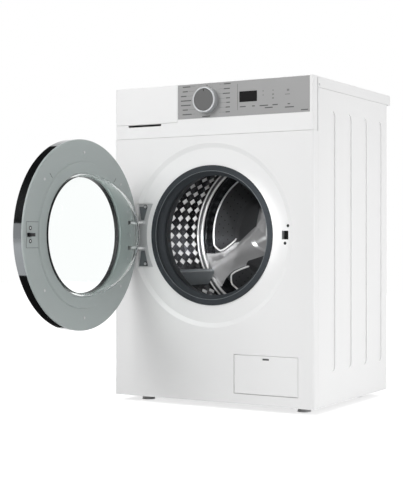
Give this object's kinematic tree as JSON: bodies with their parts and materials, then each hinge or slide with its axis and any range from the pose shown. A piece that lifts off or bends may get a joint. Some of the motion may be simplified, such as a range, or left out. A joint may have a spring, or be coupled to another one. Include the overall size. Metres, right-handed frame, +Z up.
{
  "type": "front load washing machine",
  "caption": "Slim front load washing machine with a swinging porthole door, detergent drawer, program knob, filter flap and a belt driven drum in a sprung tub.",
  "frame": {"origin": "on the floor under the middle of the cabinet's footprint", "axes": "+Z up, -Y out of the front panel, +X to the right seen from the front"},
  "size_m": [0.598, 0.9898, 0.845],
  "materials": {
    "white_enamel": "gloss enamel",
    "white_plastic": "moulded, semi gloss",
    "white_laminate": "laminated board with a moulded edge",
    "grey_overlay": "satin printed film",
    "display_black": "gloss",
    "board_green": "solder mask",
    "grey_plastic": "moulded",
    "black_plastic": "moulded",
    "galvanised_steel": "galvanised sheet",
    "zinc_steel": "zinc plated",
    "gasket_rubber": "moulded",
    "spring_steel": "oiled",
    "door_grey": "satin moulded",
    "door_chrome": "chrome-plated ABS, polished",
    "door_glass": "clear",
    "knob_metal": "satin chrome",
    "knob_grey": "satin",
    "tub_plastic": "filled polypropylene",
    "bearing_steel": "ground",
    "cast_iron": "as cast",
    "motor_alloy": "die cast",
    "stainless_steel": "polished stainless"
  },
  "bodies": {
    "cabinet": {"base_frame": "black_plastic", "side_panel_right": "white_enamel", "side_panel_left": "white_enamel", "rear_panel": "galvanised_steel", "rear_service_cover": "galvanised_steel", "front_panel": "white_enamel", "top_cover": "white_laminate", "top_rails": "galvanised_steel", "control_fascia": "white_plastic", "control_overlay": "grey_overlay", "display_window": "display_black", "control_board": "board_green", "dispenser_housing": "grey_plastic", "inlet_valve": "white_plastic", "drain_pump": "grey_plastic", "door_lock": "grey_plastic", "hinge_bracket": "zinc_steel", "cabinet_screws": "zinc_steel", "gasket": "gasket_rubber", "gasket_clamp": "zinc_steel", "transit_plugs": "white_plastic", "rear_glands": "black_plastic", "flap_frame": "white_plastic", "damper_cylinders": "black_plastic", "suspension_springs": "spring_steel", "sump_hose": "gasket_rubber"},
    "door": {"door_inner_frame": "door_grey", "door_outer_ring": "door_chrome", "door_glass": "door_glass", "latch_plate": "door_grey", "hinge_pin": "zinc_steel", "door_screws": "zinc_steel"},
    "hook": {"door_hook": "black_plastic"},
    "drawer": {"drawer_front": "white_plastic", "drawer_tray": "grey_plastic", "siphon_cap": "grey_plastic"},
    "knob": {"program_knob": "knob_metal", "knob_face": "knob_grey"},
    "flap": {"filter_flap": "white_plastic"},
    "filter": {"pump_filter": "white_plastic"},
    "tub": {"tub_front": "tub_plastic", "tub_rear": "tub_plastic", "tub_bearings": "bearing_steel", "counterweight_front": "cast_iron", "counterweight_top": "cast_iron", "motor": "motor_alloy", "heater": "stainless_steel", "damper_rods": "black_plastic", "drive_belt": "gasket_rubber"},
    "drum": {"drum_shell": "stainless_steel", "drum_rear": "stainless_steel", "drum_lifters": "stainless_steel", "drum_spider": "motor_alloy", "drum_pulley": "motor_alloy"},
    "rotor": {"motor_pulley": "bearing_steel"},
    "foot_front_left": {"foot_front_left": "white_plastic"},
    "foot_front_right": {"foot_front_right": "white_plastic"},
    "foot_rear_left": {"foot_rear_left": "white_plastic"},
    "foot_rear_right": {"foot_rear_right": "white_plastic"}
  },
  "joints": [
    {"name": "door_hinge", "type": "hinge", "parent": "cabinet", "child": "door", "pos_m": [-0.2318, -0.254, 0.449], "axis": [0, 0, -1], "range_deg": [-90, 30]},
    {"name": "hook_pivot", "type": "hinge", "parent": "door", "child": "hook", "pos_m": [-0.2268, -0.7018, 0.449], "axis": [0, 0, 1], "range_deg": [0, 8], "stiffness_Nm_per_rad": 0.05, "springref_deg": -2.86},
    {"name": "drawer_slide", "type": "slide", "parent": "cabinet", "child": "drawer", "axis": [0, -1, 0], "range_m": [0, 0.2]},
    {"name": "knob_turn", "type": "hinge", "parent": "cabinet", "child": "knob", "pos_m": [-0.007, -0.238, 0.8], "axis": [0, 1, 0], "continuous": true},
    {"name": "flap_hinge", "type": "hinge", "parent": "cabinet", "child": "flap", "pos_m": [0.164, -0.2345, 0.0475], "axis": [1, 0, 0], "range_deg": [0, 90]},
    {"name": "filter_twist", "type": "hinge", "parent": "cabinet", "child": "filter", "pos_m": [0.164, -0.216, 0.088], "axis": [0, -1, 0], "range_deg": [0, 90]},
    {"name": "tub_float", "type": "slide", "parent": "cabinet", "child": "tub", "axis": [0, 0, 1], "range_m": [-0.01, 0.01], "stiffness_N_per_m": 12000, "springref_m": 0.0344, "deforming": ["gasket", "suspension_springs", "sump_hose"]},
    {"name": "drum_spin", "type": "hinge", "parent": "tub", "child": "drum", "pos_m": [0, 0, 0.449], "axis": [0, 1, 0], "continuous": true},
    {"name": "motor_spin", "type": "hinge", "parent": "tub", "child": "rotor", "pos_m": [0.15, 0, 0.14499], "axis": [0, 1, 0], "continuous": true},
    {"name": "foot_front_left_height", "type": "slide", "parent": "cabinet", "child": "foot_front_left", "axis": [0, 0, -1], "range_m": [0, 0.012]},
    {"name": "foot_front_right_height", "type": "slide", "parent": "cabinet", "child": "foot_front_right", "axis": [0, 0, -1], "range_m": [0, 0.012]},
    {"name": "foot_rear_left_height", "type": "slide", "parent": "cabinet", "child": "foot_rear_left", "axis": [0, 0, -1], "range_m": [0, 0.012]},
    {"name": "foot_rear_right_height", "type": "slide", "parent": "cabinet", "child": "foot_rear_right", "axis": [0, 0, -1], "range_m": [0, 0.012]}
  ],
  "couplings": [
    {"joint": "motor_spin", "follows": "drum_spin", "ratio": 14}
  ]
}
